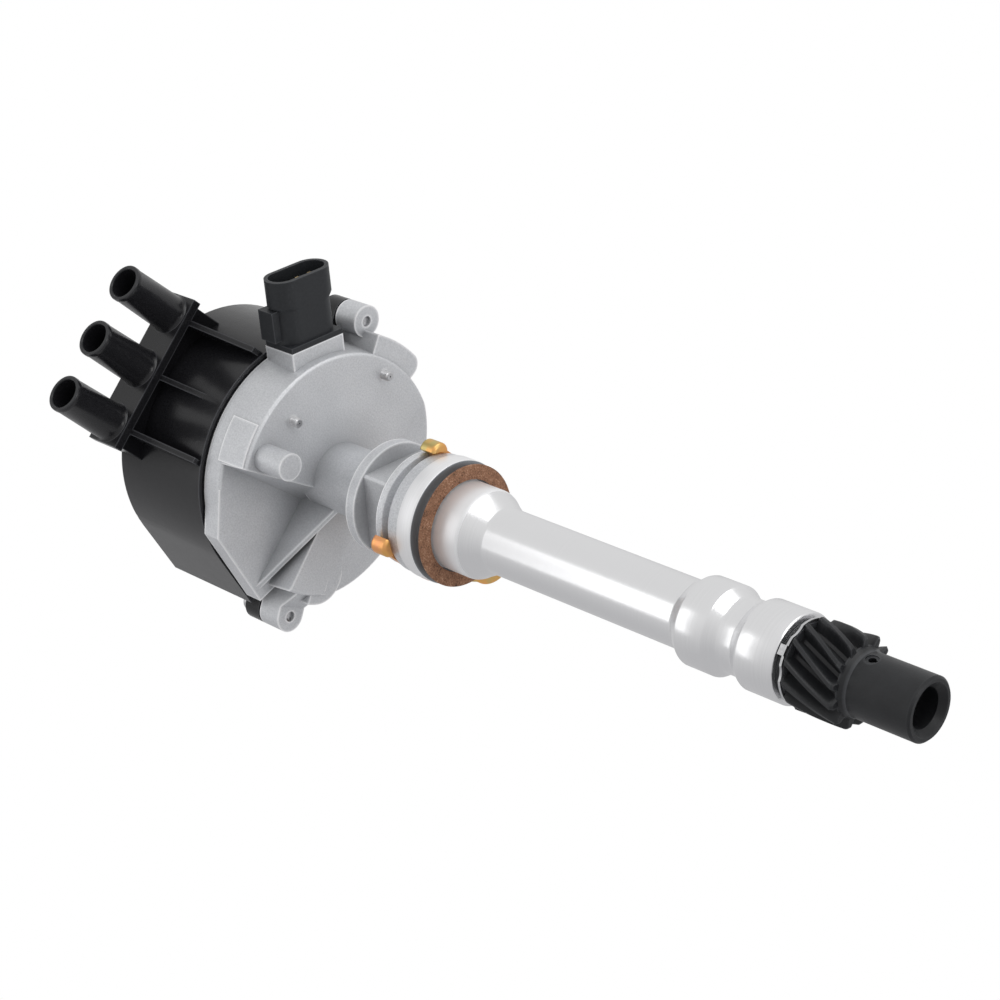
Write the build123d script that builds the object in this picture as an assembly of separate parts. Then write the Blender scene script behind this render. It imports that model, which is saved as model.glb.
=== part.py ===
from build123d import *
import math
import os

os.makedirs("parts", exist_ok=True)

# An engine ignition distributor for six cylinders, upright as it stands in the engine.
# +Z runs up the shaft toward the cap, and the origin is where the shaft axis meets the
# underside of the mounting flange. +X faces the near bank of plug towers. Millimetres.

# Shaft and the fits on it
shaft_radius = 6.22
bush_gap = 0.03
washer_gap = 0.25
end_play = 0.15
shaft_end_depth = 199.0
shaft_top = 88.0
drive_slot_width = 5.4
drive_slot_depth = 7.0

# Housing tube below the flange, as depths under the flange
pilot_radius = 17.0
pilot_length = 17.5
pilot_taper = 7.0
shank_radius = 12.4
ring_radius = 16.0
ring_lead_in = 5.0
ring_top_depth = 118.5
ring_length = 11.5
ring_run_out = 4.0
neck_radius = 13.4
journal_radius = 16.0
journal_lead_in = 4.0
journal_top_depth = 145.5
journal_length = 15.5
journal_chamfer = 0.6

# Housing above the flange
flange_radius = 23.6
flange_cast_radius = 23.0
flange_machined_height = 7.5
flange_height = 13.0
clamp_groove_radius = 17.4
clamp_groove_height = 4.0
lip_radius = 22.0
lip_height = 3.2
flats_width = 31.0
flats_height = 12.3
collar_radius = 22.0
collar_height = 4.5
neck_boss_radius = 13.4
bowl_bottom = 65.0

# Housing bowl
bowl_radius = 50.0
bowl_draft = 1.8
bowl_wall = 2.5
bowl_floor = 4.0
bowl_corner = 1.2
rim_height = 20.2
low_floor_rise = 12.0
low_floor_outline = [(0.0, -14.0), (70.0, -21.5), (70.0, -70.0), (-6.2, -70.0), (-2.0, -14.0)]
low_floor_foot = [(0.0, -6.5), (70.0, -23.8), (70.0, -70.0), (-6.2, -70.0), (-2.0, -6.5)]
back_slope_start = 20.0
back_slope_angle = 13.0
lobe_radius = 56.0
lobe_end_angle = 102.0
lobe_corner = 5.0
low_lobe_radius = 52.0
low_lobe_start = -130.0
low_lobe_corner = 11.0
side_corner_near = (53.0, -56.0)
side_corner_far = (56.2, -95.0)
wall_pad_stand = 0.5
wall_pad_height = 13.0
wall_pad_start = -21.5
wall_pad_end = -1.0
rib_thickness = 2.4
tall_rib_angle = -90.5
tall_rib_height = 18.5

# Screw ears, shared by the housing and the cap
ear_circle_radius = 59.3
ear_angles = (-110.2, 73.3)
ear_radius = 6.3
ear_boss_height = 11.0
ear_web_root = 40.0
ear_web_bend = 46.0
ear_web_end = 55.5
cap_screw_radius = 2.1
cap_screw_thread_gap = 0.02
cap_screw_head_radius = 4.4
cap_screw_head_height = 3.6
cap_screw_socket_radius = 1.9

# Bushes and the upper shaft seal
bush_radius = 9.0
upper_bush_top = 60.0
upper_bush_length = 26.0
lower_bush_length = 24.0
oil_way_radius = 7.6
seal_height = 4.0
seal_gap = 0.05
housing_hub_top = 72.0

# Small cast boss and the sensor screws under the bowl
vent_boss_radius = 5.3
vent_boss_length = 14.5
vent_boss_place = (39.1, -9.7)
sensor_screw_radius = 1.9
sensor_screw_near = (35.4, 7.4)
sensor_screw_far = (4.9, 42.0)
sensor_screw_stand = 3.6
sensor_screw_head_radius = 3.0
sensor_screw_head_height = 2.2

# Cap
cap_radius = 52.0
cap_wall = 3.2
cap_height = 49.0
cap_slab = 17.0
cap_edge_fillet = 1.2
seal_ring_height = 0.8
seal_ring_width = 2.6
wedge_corner_radius = 58.6
wedge_lead_angle = 10.7
cap_ear_height = 8.0

# Plug towers
tower_pitch = 23.6
tower_row_offset = 1.3
tower_height = 41.0
tower_radius = 7.2
tower_root_radius = 7.7
tower_bore_radius = 5.6
tower_bore_depth = 21.0
tower_reach = 87.0
plate_face = 60.5
plate_thickness = 3.6
plate_length = 64.0
plate_top_gap = 0.6
plate_height = 16.4
shelf_height = 13.0
gusset_thickness = 2.2
gusset_foot = 50.0
coil_tower_rise = 8.5
coil_tower_reach = 66.0
coil_ridge_width = 17.0
coil_ridge_start = 8.0

# Contacts in the cap
post_circle_radius = 34.0
post_radius = 2.3
post_drop = 9.5
conductor_radius = 1.5
stud_radius = 2.4
stud_length = 9.0
button_radius = 4.0
button_drop = 5.0

# Rotor
rotor_radius = 27.0
rotor_disc_height = 4.0
rotor_block_width = 15.0
rotor_block_height = 21.0
blade_gap = 0.9
blade_width = 6.0
blade_thickness = 1.2
spring_thickness = 0.6
spring_width = 5.0
spring_foot = 6.0
spring_crown = 3.0
button_clearance = 0.3
rotor_screw_radius = 1.9
rotor_screw_circle = 18.0
rotor_screw_angles = (90, 270)
rotor_screw_head_radius = 3.3
rotor_screw_head_height = 2.2

# Shutter wheel that the sensor reads
shutter_radius = 30.5
shutter_thickness = 1.2
shutter_skirt = 5.0
shutter_hub_radius = 11.0
shutter_hub_height = 5.0

# Sensor and its plug socket
sensor_angle = 44.0
sensor_base_height = 3.0
sensor_arc_inner = 24.5
sensor_arc_outer = 44.0
sensor_arc_span = 74.0
sensor_pad_radius = 3.2
sensor_slot_gap = 2.0
sensor_tower_span = 22.0
sensor_tower_height = 15.0
socket_height = 11.6
socket_pad_root = 40.0
socket_pad_reach = 54.0
socket_pad_width = 25.0
socket_pad_height = 15.6
socket_pad_rise = 4.0
socket_base_thickness = 2.2
socket_base_width = 25.0
socket_base_height = 15.2
socket_neck_length = 14.9
socket_neck_width = 25.0
socket_neck_height = 13.0
socket_shell_length = 10.5
socket_shell_width = 27.6
socket_shell_height = 13.6
socket_shell_wall = 1.5
socket_key_width = 4.4
socket_key_length = 12.0
socket_key_height = 8.0
socket_key_start = 1.8
socket_key_rise = 2.0
terminal_pitch = 6.0
terminal_width = 1.6
terminal_thickness = 0.8
terminal_stand = 9.0
terminal_root = 2.0

# Drive gear and its roll pin
gear_teeth = 13
gear_tip_radius = 15.8
gear_root_radius = 11.5
gear_face = 20.5
gear_twist = 38.0
gear_steps = 6
tooth_root_share = 0.30
tooth_tip_share = 0.10
gear_top_depth = 164.2
gear_hub_radius = 11.2
gear_length = 47.2
gear_bore_gap = 0.01
gear_tip_chamfer = 1.0
hub_mouth_radius = 7.0
hub_mouth_chamfer = 2.2
pin_radius = 2.35
pin_wall = 1.0
pin_slot = 1.2
pin_angle = 38.6
pin_offset = 5.2
pin_inset = 0.5

# Thrust washers between the journal and the gear
washer_radius = 13.8
shim_thickness = 0.3
tang_washer_radius = 15.0
tang_washer_thickness = 0.9
tang_angle = -6.5
tang_width = 3.6
tang_reach = 15.5
tang_fold = 1.6
wave_radius = 7.0
wave_depth = 0.8

# Hold-down clamp
clamp_thickness = 3.4
clamp_fork_gap = 0.4
clamp_outer_half_width = 22.2
clamp_bolt_reach = 40.0
clamp_bolt_radius = 5.4
clamp_tail_radius = 12.5
clamp_shoulder_reach = 15.0
clamp_tip_place = (13.0, 19.4)
clamp_tip_radius = 4.0
clamp_tip_stand = 2.2
clamp_tip_round = 1.3

# Flange gasket
gasket_thickness = 0.8
gasket_radius = 23.2
gasket_bore_gap = 0.6
gasket_drop = 3.8

# Heights that follow from the sizes above
tube_end = -(journal_top_depth + journal_length)
groove_bottom = flange_height
groove_top = groove_bottom + clamp_groove_height
flats_bottom = groove_top + lip_height
flats_top = flats_bottom + flats_height
collar_top = flats_top + collar_height
rim_top = bowl_bottom + rim_height
low_floor = bowl_bottom + low_floor_rise
cap_bottom = rim_top + seal_ring_height
cap_top = cap_bottom + cap_height
cavity_top = cap_top - cap_slab
tower_level = cap_bottom + tower_height
gear_top = -gear_top_depth
gear_bottom = gear_top - gear_face
hub_end = gear_top - gear_length


def polar(radius, angle, height=0.0):
    """Point at a radius and an angle in degrees about the shaft axis."""
    turn = math.radians(angle)
    return (radius * math.cos(turn), radius * math.sin(turn), height)


ear_places = [polar(ear_circle_radius, angle)[:2] for angle in ear_angles]


def turned(points):
    """Solid of revolution about the shaft axis from (radius, height) corners."""
    return revolve(Plane.XZ * make_face(Polyline(*points, close=True)), Axis.Z)


def upright(radius, bottom, top, place=(0, 0)):
    """Upright round bar between two heights."""
    return Pos(place[0], place[1], bottom) * extrude(Circle(radius), top - bottom)


def wall_radius(height):
    """Outer radius of the bowl wall at a height, smaller toward the floor by its draft."""
    return bowl_radius - bowl_draft / rim_height * (rim_top - height)


def bowl_bar(bottom):
    """Outside of the bowl from a floor level to the rim, with draft and a rounded lower edge."""
    bar = turned([(0, bottom), (wall_radius(bottom), bottom), (bowl_radius, rim_top), (0, rim_top)])
    return fillet(bar.edges().group_by(Axis.Z)[0], bowl_corner)


def wall_pad():
    """Shallow pad on the bowl wall beside the recess, with the same draft as the wall."""
    bottom = bowl_bottom + bowl_corner
    top = bottom + wall_pad_height
    pad = turned([(0, bottom), (wall_radius(bottom) + wall_pad_stand, bottom),
                  (wall_radius(top) + wall_pad_stand, top), (0, top)])
    return pad & sector(bowl_radius + bowl_wall, wall_pad_start, wall_pad_end, bottom, top)


def side_corner():
    """Flat-sided corner of the bowl under the cap's own corner, beside the lower ear."""
    wall = wall_radius(low_floor)
    near_radius, near_angle = side_corner_near
    far_radius, far_angle = side_corner_far
    spread = math.degrees(math.acos(wall / near_radius))
    outline = Polyline((0, 0), polar(wall, near_angle + spread)[:2], polar(near_radius, near_angle)[:2],
                       polar(far_radius, far_angle)[:2], polar(wall - 2, far_angle - 6)[:2], close=True)
    return Pos(0, 0, low_floor) * extrude(make_face(outline), rim_top - low_floor)


def ear_web():
    """Web from the main floor out to the lower ear, its underside rising to the ear's face."""
    face = rim_top - ear_boss_height
    outline = Polyline((ear_web_root, bowl_bottom), (ear_web_bend, bowl_bottom), (ear_web_end, face),
                       (ear_circle_radius, face), (ear_circle_radius, rim_top),
                       (ear_web_root, rim_top), close=True)
    web = extrude(Plane.XZ * make_face(outline), ear_radius, both=True)
    return Rot(0, 0, ear_angles[0]) * web


def lobe(radius, start, end, rounded, corner):
    """Cast lobe out of the bowl wall between two angles, one of its corners rounded."""
    first = polar(radius, start)[:2]
    middle = polar(radius, (start + end) / 2)[:2]
    last = polar(radius, end)[:2]
    outline = make_face([Line((0, 0), first), ThreePointArc(first, middle, last), Line(last, (0, 0))])
    tip = outline.vertices().sort_by_distance(polar(radius, rounded))[0]
    return Pos(0, 0, bowl_bottom + 1) * extrude(fillet(tip, corner), rim_height - 1)


def back_slope(lift):
    """Wedge under the slanted back of the bowl floor, lifted by an amount."""
    far = 2 * bowl_radius
    rise = (far - back_slope_start) * math.tan(math.radians(back_slope_angle))
    level = bowl_bottom + lift
    outline = Polyline((-back_slope_start, level), (-far, level + rise), (-far, level - 2),
                       (-back_slope_start, level - 2), close=True)
    return extrude(Plane.XZ * make_face(outline), far, both=True)


def low_side(top):
    """Block over the recessed part of the bowl floor, its wall to the main floor slanted."""
    foot = make_face(Polyline(*low_floor_foot, close=True))
    head = make_face(Polyline(*low_floor_outline, close=True))
    slanted = loft([Pos(0, 0, bowl_bottom - 1) * foot, Pos(0, 0, low_floor) * head], ruled=True)
    return slanted + Pos(0, 0, low_floor) * extrude(head, top - low_floor)


def ring(outer, inner, bottom, top):
    """Upright ring between two heights."""
    return Pos(0, 0, bottom) * extrude(Circle(outer) - Circle(inner), top - bottom)


def sector(radius, start, end, bottom, top):
    """Pie slice about the shaft axis between two angles and two heights."""
    first = polar(radius, start)[:2]
    middle = polar(radius, (start + end) / 2)[:2]
    last = polar(radius, end)[:2]
    arc = ThreePointArc(first, middle, last)
    edges = [Line((0, 0), first), arc, Line(last, (0, 0))]
    return Pos(0, 0, bottom) * extrude(make_face(edges), top - bottom)


def rod(start, end, radius):
    """Round bar between two points."""
    run = Vector(*end) - Vector(*start)
    return extrude(Plane(origin=start, z_dir=run) * Circle(radius), run.length)


def tangent_wedge(circle_radius, corner_radius, corner_angle, bottom, top):
    """Corner that stands out of a round wall: one side tangent to it, the other radial."""
    spread = math.degrees(math.acos(circle_radius / corner_radius))
    touch = polar(circle_radius, corner_angle + spread)[:2]
    corner = polar(corner_radius, corner_angle)[:2]
    foot = polar(circle_radius - 2, corner_angle - 6)[:2]
    outline = Polyline((0, 0), touch, corner, foot, close=True)
    return Pos(0, 0, bottom) * extrude(make_face(outline), top - bottom)


def housing():
    """Cast aluminium body: machined tube, flange, clamp groove, wrench flats and bowl."""
    ring_bottom = -(ring_top_depth + ring_length)
    tube = turned([
        (oil_way_radius, tube_end),
        (journal_radius - journal_chamfer, tube_end),
        (journal_radius, tube_end + journal_chamfer),
        (journal_radius, -journal_top_depth),
        (neck_radius, -journal_top_depth + journal_lead_in),
        (neck_radius, ring_bottom - ring_run_out),
        (ring_radius, ring_bottom),
        (ring_radius, -ring_top_depth),
        (shank_radius, -ring_top_depth + ring_lead_in),
        (shank_radius, -pilot_length - pilot_taper),
        (pilot_radius - 0.8, -pilot_length),
        (pilot_radius, -pilot_length + 1.5),
        (pilot_radius, 0),
        (flange_radius - 0.5, 0),
        (flange_radius, 0.5),
        (flange_radius, flange_machined_height),
        (flange_cast_radius, flange_machined_height + 0.4),
        (flange_cast_radius, groove_bottom),
        (clamp_groove_radius, groove_bottom),
        (clamp_groove_radius, groove_top),
        (lip_radius, groove_top),
        (lip_radius, flats_bottom),
        (neck_boss_radius, flats_bottom),
        (neck_boss_radius, housing_hub_top),
        (oil_way_radius, housing_hub_top),
    ])
    flats = extrude(Rectangle(flats_width, flats_width, rotation=45), flats_height + 0.4)
    flats = Pos(0, 0, flats_bottom - 0.2) * flats
    flats = flats & upright(lip_radius - 0.6, flats_bottom - 0.2, flats_top + 0.2)
    collar = upright(collar_radius, flats_top, collar_top)

    main_side = bowl_bar(bowl_bottom) - back_slope(0) - low_side(rim_top + 1)
    bowl = main_side + (bowl_bar(low_floor) & low_side(rim_top))
    bowl = bowl + lobe(lobe_radius, ear_angles[1], lobe_end_angle, lobe_end_angle, lobe_corner)
    bowl = bowl + lobe(low_lobe_radius, low_lobe_start, ear_angles[0], low_lobe_start,
                       low_lobe_corner)
    bowl = bowl + side_corner() + ear_web() + wall_pad()
    for place in ear_places:
        bowl = bowl + upright(ear_radius, rim_top - ear_boss_height, rim_top, place)
    pad = Box(socket_pad_reach - socket_pad_root, socket_pad_width, socket_pad_height)
    pad = Pos((socket_pad_reach + socket_pad_root) / 2, 0,
              bowl_bottom + socket_pad_rise + socket_pad_height / 2) * pad
    bowl = bowl + Rot(0, 0, sensor_angle) * pad

    inner = bowl_radius - bowl_draft - bowl_wall
    cavity = upright(inner, bowl_bottom + bowl_floor, rim_top + 1) - back_slope(bowl_floor)
    step_wall = Pos(0, bowl_wall, 0) * low_side(low_floor + bowl_floor)
    cavity = cavity - step_wall - Pos(-bowl_wall, 0, 0) * step_wall
    body = tube + flats + collar + (bowl - cavity)
    body = body + upright(neck_boss_radius, bowl_bottom, housing_hub_top)

    gusset = Polyline((10, low_floor + 1), (10, low_floor - tall_rib_height),
                      (neck_boss_radius, low_floor - tall_rib_height),
                      (bowl_radius + 2, low_floor), (bowl_radius + 2, low_floor + 1), close=True)
    gusset = extrude(Plane.XZ * make_face(gusset), rib_thickness / 2, both=True)
    body = body + Rot(0, 0, tall_rib_angle) * gusset

    body = body + upright(vent_boss_radius, bowl_bottom - vent_boss_length,
                          bowl_bottom + 1, vent_boss_place)
    body = body - upright(oil_way_radius, tube_end - 1, housing_hub_top + 1)
    body = body - upright(bush_radius, tube_end - 1, tube_end + lower_bush_length)
    body = body - upright(bush_radius, upper_bush_top - upper_bush_length, housing_hub_top + 1)
    for place in ear_places:
        body = body - upright(cap_screw_radius + cap_screw_thread_gap,
                              rim_top - ear_boss_height - 1, rim_top + 1, place)
    for place in (sensor_screw_near, sensor_screw_far):
        body = body - upright(sensor_screw_radius + cap_screw_thread_gap,
                              bowl_bottom - 1, rim_top, place)
    lead = Pos(socket_pad_reach - 6, 0, bowl_bottom + socket_height)
    lead = Rot(0, 0, sensor_angle) * lead * Box(20, socket_neck_width - 6, socket_neck_height - 4)
    return body - lead


def bush(bottom, length):
    """Sintered bush pressed in the housing bore."""
    return ring(bush_radius, shaft_radius + bush_gap, bottom, bottom + length)


def shaft_seal():
    """Lip seal above the upper bush."""
    bottom = upper_bush_top + 1.0
    return ring(bush_radius, shaft_radius + seal_gap, bottom, bottom + seal_height)


def shaft():
    """Ground steel shaft with the pump drive slot across its lower end."""
    bar = upright(shaft_radius, -shaft_end_depth, shaft_top)
    slot = Box(3 * shaft_radius, drive_slot_width, drive_slot_depth)
    bar = bar - Rot(0, 0, pin_angle) * Pos(0, 0, -shaft_end_depth + drive_slot_depth / 2) * slot
    return bar - pin_hole(pin_radius)


def pin_hole(radius):
    """Cross bar through the gear hub and the shaft where the roll pin goes."""
    height = gear_bottom - pin_offset
    start = polar(gear_hub_radius + 1, pin_angle, height)
    end = polar(gear_hub_radius + 1, pin_angle + 180, height)
    return rod(start, end, radius)


def roll_pin():
    """Slotted spring pin that locks the gear to the shaft."""
    section = Circle(pin_radius) - Circle(pin_radius - pin_wall)
    section = section - Pos(0, -pin_radius) * Rectangle(pin_slot, 2 * pin_radius)
    reach = gear_hub_radius - pin_inset
    start = polar(reach, pin_angle + 180, gear_bottom - pin_offset)
    across = Plane(origin=start, x_dir=polar(1, pin_angle + 90), z_dir=polar(1, pin_angle))
    return extrude(across * section, 2 * reach)


def drive_gear():
    """Helical gear of thirteen teeth with a long hub below it."""
    pitch = 360 / gear_teeth
    corners = []
    for tooth in range(gear_teeth):
        middle = tooth * pitch
        corners.append(polar(gear_root_radius, middle - tooth_root_share * pitch)[:2])
        corners.append(polar(gear_tip_radius, middle - tooth_tip_share * pitch)[:2])
        corners.append(polar(gear_tip_radius, middle + tooth_tip_share * pitch)[:2])
        corners.append(polar(gear_root_radius, middle + tooth_root_share * pitch)[:2])
    section = make_face(Polyline(*corners, close=True))
    teeth = []
    for step in range(gear_steps + 1):
        height = gear_bottom + gear_face * step / gear_steps
        turn = gear_twist * step / gear_steps
        teeth.append(Pos(0, 0, height) * Rot(0, 0, turn) * section)
    gear = loft(teeth, ruled=True)
    tip_cone = turned([
        (0, gear_bottom), (gear_tip_radius - gear_tip_chamfer, gear_bottom),
        (gear_tip_radius + 0.1, gear_bottom + gear_tip_chamfer),
        (gear_tip_radius + 0.1, gear_top - gear_tip_chamfer),
        (gear_tip_radius - gear_tip_chamfer, gear_top), (0, gear_top),
    ])
    gear = gear & tip_cone
    hub = turned([
        (0, hub_end), (gear_hub_radius - 0.8, hub_end), (gear_hub_radius, hub_end + 0.8),
        (gear_hub_radius, gear_bottom - 1.2), (gear_hub_radius + 0.6, gear_bottom + 1),
        (0, gear_bottom + 1),
    ])
    gear = gear + hub
    gear = gear - upright(shaft_radius + gear_bore_gap, hub_end - 1, gear_top + 1)
    mouth = turned([
        (0, hub_end - 1), (hub_mouth_radius + hub_mouth_chamfer, hub_end - 1),
        (hub_mouth_radius + hub_mouth_chamfer, hub_end),
        (hub_mouth_radius, hub_end + hub_mouth_chamfer),
        (hub_mouth_radius, -shaft_end_depth), (0, -shaft_end_depth),
    ])
    return gear - mouth - pin_hole(pin_radius)


def washer(bottom, thickness, radius):
    """Flat thrust washer on the shaft."""
    return ring(radius, shaft_radius + washer_gap, bottom, bottom + thickness)


def tanged_washer(bottom):
    """Thrust washer with a wavy rim and three tangs folded up toward the journal."""
    disc = washer(bottom, tang_washer_thickness, tang_washer_radius)
    for index in range(6):
        place = polar(tang_washer_radius + wave_radius - wave_depth, 60 * index + tang_angle + 30)[:2]
        disc = disc - upright(wave_radius, bottom - 1, bottom + tang_washer_thickness + 1, place)
    tang_height = tang_washer_thickness + tang_fold
    for index in range(3):
        tang = Pos(tang_reach - tang_washer_thickness / 2, 0, bottom + tang_height / 2)
        tang = tang * Box(tang_washer_thickness, tang_width, tang_height)
        disc = disc + Rot(0, 0, 120 * index + tang_angle) * tang
    return disc


def flange_gasket():
    """Fibre gasket that hangs loose on the pilot a little under the flange."""
    top = -gasket_drop
    return ring(gasket_radius, pilot_radius + gasket_bore_gap, top - gasket_thickness, top)


def hold_down_clamp():
    """Stamped steel fork in the clamp groove, its two prong tips curled down."""
    bottom = groove_bottom + (clamp_groove_height - clamp_thickness) / 2
    half = clamp_outer_half_width
    tail = clamp_tail_radius
    tip_x, tip_y = clamp_tip_place
    outline = Polyline(
        (tip_x, half), (-clamp_shoulder_reach, half), (-clamp_bolt_reach, tail),
        (-clamp_bolt_reach, -tail), (-clamp_shoulder_reach, -half), (tip_x, -half), close=True,
    )
    fork_radius = clamp_groove_radius + clamp_fork_gap
    plan = make_face(outline) + Pos(-clamp_bolt_reach, 0) * Circle(tail)
    mouth = Pos(tip_x, 0) * Rectangle(2 * tip_x + 10, 2 * fork_radius)
    mouth = Pos(5, 0) * mouth
    plan = plan - Circle(fork_radius) - mouth - Pos(-clamp_bolt_reach, 0) * Circle(clamp_bolt_radius)
    plate = Pos(0, 0, bottom) * extrude(plan, clamp_thickness)
    lugs = []
    for side in (1, -1):
        lug = upright(clamp_tip_radius, bottom - clamp_tip_stand,
                      bottom + clamp_thickness + clamp_tip_stand, (tip_x, side * tip_y))
        lugs.append(fillet(lug.edges().filter_by(GeomType.CIRCLE), clamp_tip_round))
    clear = upright(flange_radius + clamp_fork_gap, 0, groove_bottom)
    clear = clear + upright(lip_radius + clamp_fork_gap, groove_top, flats_bottom)
    clear = clear + Pos(0, 0, flange_machined_height) * extrude(mouth, flats_bottom)
    return plate + lugs - clear


def cap_seal():
    """Thin sealing ring between the cap and the housing rim."""
    outer = bowl_radius - 0.3
    return ring(outer, outer - seal_ring_width, rim_top, cap_bottom)


def tower_lines():
    """Side, post angle and place across of each plug tower, the near bank first."""
    lines = []
    for side in (1, -1):
        for index in (-1, 0, 1):
            post_angle = 90 - 90 * side + 60 * index
            across = side * (tower_row_offset + index * tower_pitch)
            lines.append((side, post_angle, across))
    return lines


def cap_bank():
    """One bank of the cap: the shelf, the upright plate, its gussets and three towers."""
    outer_face = plate_face
    inner_face = plate_face - plate_thickness
    plate_top = cap_top - plate_top_gap
    plate_middle = plate_top - plate_height / 2
    plate = Pos((outer_face + inner_face) / 2, tower_row_offset, plate_middle)
    bank = plate * Box(plate_thickness, plate_length, plate_height)
    shelf = Pos(inner_face / 2 + 10, tower_row_offset, plate_top - shelf_height / 2)
    bank = bank + shelf * Box(inner_face - 20 + 0.2, plate_length - 3, shelf_height)
    for index in (-1, 0, 1):
        across = tower_row_offset + index * tower_pitch
        gusset = Polyline((30, cap_bottom + 1), (gusset_foot, cap_bottom + 1),
                          (inner_face + 0.1, plate_top - plate_height),
                          (inner_face + 0.1, plate_top - 2), (30, plate_top - 2), close=True)
        gusset = extrude(Plane.XZ * make_face(gusset), gusset_thickness / 2, both=True)
        bank = bank + Pos(0, across, 0) * gusset
        root = Plane(origin=(inner_face, across, tower_level), z_dir=(1, 0, 0))
        mouth = Plane(origin=(tower_reach, across, tower_level), z_dir=(1, 0, 0))
        tower = loft([root * Circle(tower_root_radius), mouth * Circle(tower_radius)])
        bank = bank + tower
    return bank


def distributor_cap():
    """Black moulded cap: deep round skirt, thick roof, and a bank of towers on each side."""
    shell = upright(cap_radius, cap_bottom, cap_top)
    for angle in ear_angles:
        shell = shell + tangent_wedge(cap_radius, wedge_corner_radius, angle + wedge_lead_angle,
                                      cap_bottom, cap_top)
    top_edges = shell.edges().group_by(Axis.Z)[-1]
    shell = fillet(top_edges, cap_edge_fillet)
    bank = cap_bank()
    shell = shell + bank + Rot(0, 0, 180) * bank
    for place in ear_places:
        shell = shell + upright(ear_radius, cap_bottom, cap_bottom + cap_ear_height, place)
    ear_root = cap_radius - cap_wall / 2
    ear_neck = Pos((ear_root + ear_circle_radius) / 2, 0, cap_bottom + cap_ear_height / 2)
    ear_neck = ear_neck * Box(ear_circle_radius - ear_root, 2 * ear_radius, cap_ear_height)
    for angle in ear_angles:
        shell = shell + Rot(0, 0, angle) * ear_neck
    ridge_length = coil_ridge_start + coil_tower_reach - 22
    ridge = Pos(coil_ridge_start - ridge_length / 2, 0, cap_top + coil_tower_rise / 2 - 1)
    shell = shell + ridge * Box(ridge_length, coil_ridge_width, coil_tower_rise + 2)
    coil_level = cap_top + coil_tower_rise
    coil_start = (coil_ridge_start - 2, 0, coil_level)
    coil_end = (-coil_tower_reach, 0, coil_level)
    shell = shell + rod(coil_start, coil_end, tower_radius)
    shell = shell - upright(cap_radius - cap_wall, cap_bottom - 1, cavity_top)
    for side, post_angle, across in tower_lines():
        mouth = (side * (tower_reach + 1), across, tower_level)
        bottom = (side * (tower_reach - tower_bore_depth), across, tower_level)
        shell = shell - rod(bottom, mouth, tower_bore_radius)
    coil_bottom = (-coil_tower_reach + tower_bore_depth, 0, coil_level)
    shell = shell - rod(coil_bottom, (-coil_tower_reach - 1, 0, coil_level), tower_bore_radius)
    for place in ear_places:
        shell = shell - upright(cap_screw_radius + 0.2, cap_bottom - 1,
                                cap_bottom + cap_ear_height + 1, place)
        shell = shell - upright(cap_screw_head_radius + 0.5, cap_bottom + cap_ear_height,
                                cap_top + 1, place)
    return shell - plug_terminals() - coil_terminal()


def plug_terminals():
    """Six contacts: post in the cavity, conductor in the roof, stud in the tower."""
    contacts = []
    for side, post_angle, across in tower_lines():
        post_x, post_y = polar(post_circle_radius, post_angle)[:2]
        bend = (post_x, post_y, tower_level)
        floor = (side * (tower_reach - tower_bore_depth), across, tower_level)
        tip = (side * (tower_reach - tower_bore_depth + stud_length), across, tower_level)
        contact = upright(post_radius, cavity_top - post_drop, tower_level + conductor_radius,
                          (post_x, post_y))
        inward = (floor[0] - side * 4, across, tower_level)
        contact = contact + rod(bend, inward, conductor_radius)
        contact = contact + rod(inward, tip, stud_radius)
        contacts.append(contact)
    return contacts[0] + contacts[1:]


def coil_terminal():
    """Centre contact: carbon button boss, riser and the stud of the coil tower."""
    coil_level = cap_top + coil_tower_rise
    floor_x = -coil_tower_reach + tower_bore_depth
    contact = upright(stud_radius, cavity_top, coil_level)
    contact = contact + rod((0, 0, coil_level), (floor_x + 4, 0, coil_level), conductor_radius)
    return contact + rod((floor_x + 4, 0, coil_level), (floor_x - stud_length, 0, coil_level),
                         stud_radius)


def carbon_button():
    """Carbon button under the centre of the roof."""
    return upright(button_radius, cavity_top - button_drop, cavity_top)


def cap_screws():
    """Two screws that hold the cap to the housing ears."""
    screws = []
    seat = cap_bottom + cap_ear_height
    for place in ear_places:
        screw = upright(cap_screw_radius, rim_top - ear_boss_height + 1.5, seat + 0.5, place)
        screw = screw + upright(cap_screw_head_radius, seat, seat + cap_screw_head_height, place)
        socket = upright(cap_screw_socket_radius, seat + 1.5, seat + cap_screw_head_height + 1, place)
        screws.append(screw - socket)
    return Compound(children=screws)


def shutter_wheel():
    """Steel wheel on the shaft top, its skirt cut away over half a turn."""
    top = shaft_top
    disc_bottom = top - shutter_thickness
    wheel = ring(shutter_radius, shaft_radius + gear_bore_gap, disc_bottom, top)
    skirt = ring(shutter_radius, shutter_radius - shutter_thickness,
                 disc_bottom - shutter_skirt, disc_bottom + 0.1)
    wheel = wheel + (skirt & sector(2 * shutter_radius, 90, 270, disc_bottom - 20, top))
    wheel = wheel + ring(shutter_hub_radius, shaft_radius + gear_bore_gap,
                         disc_bottom - shutter_hub_height, top)
    for angle in rotor_screw_angles:
        place = polar(rotor_screw_circle, angle)[:2]
        wheel = wheel - upright(rotor_screw_radius + cap_screw_thread_gap,
                                disc_bottom - 1, top + 1, place)
    return wheel


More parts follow.
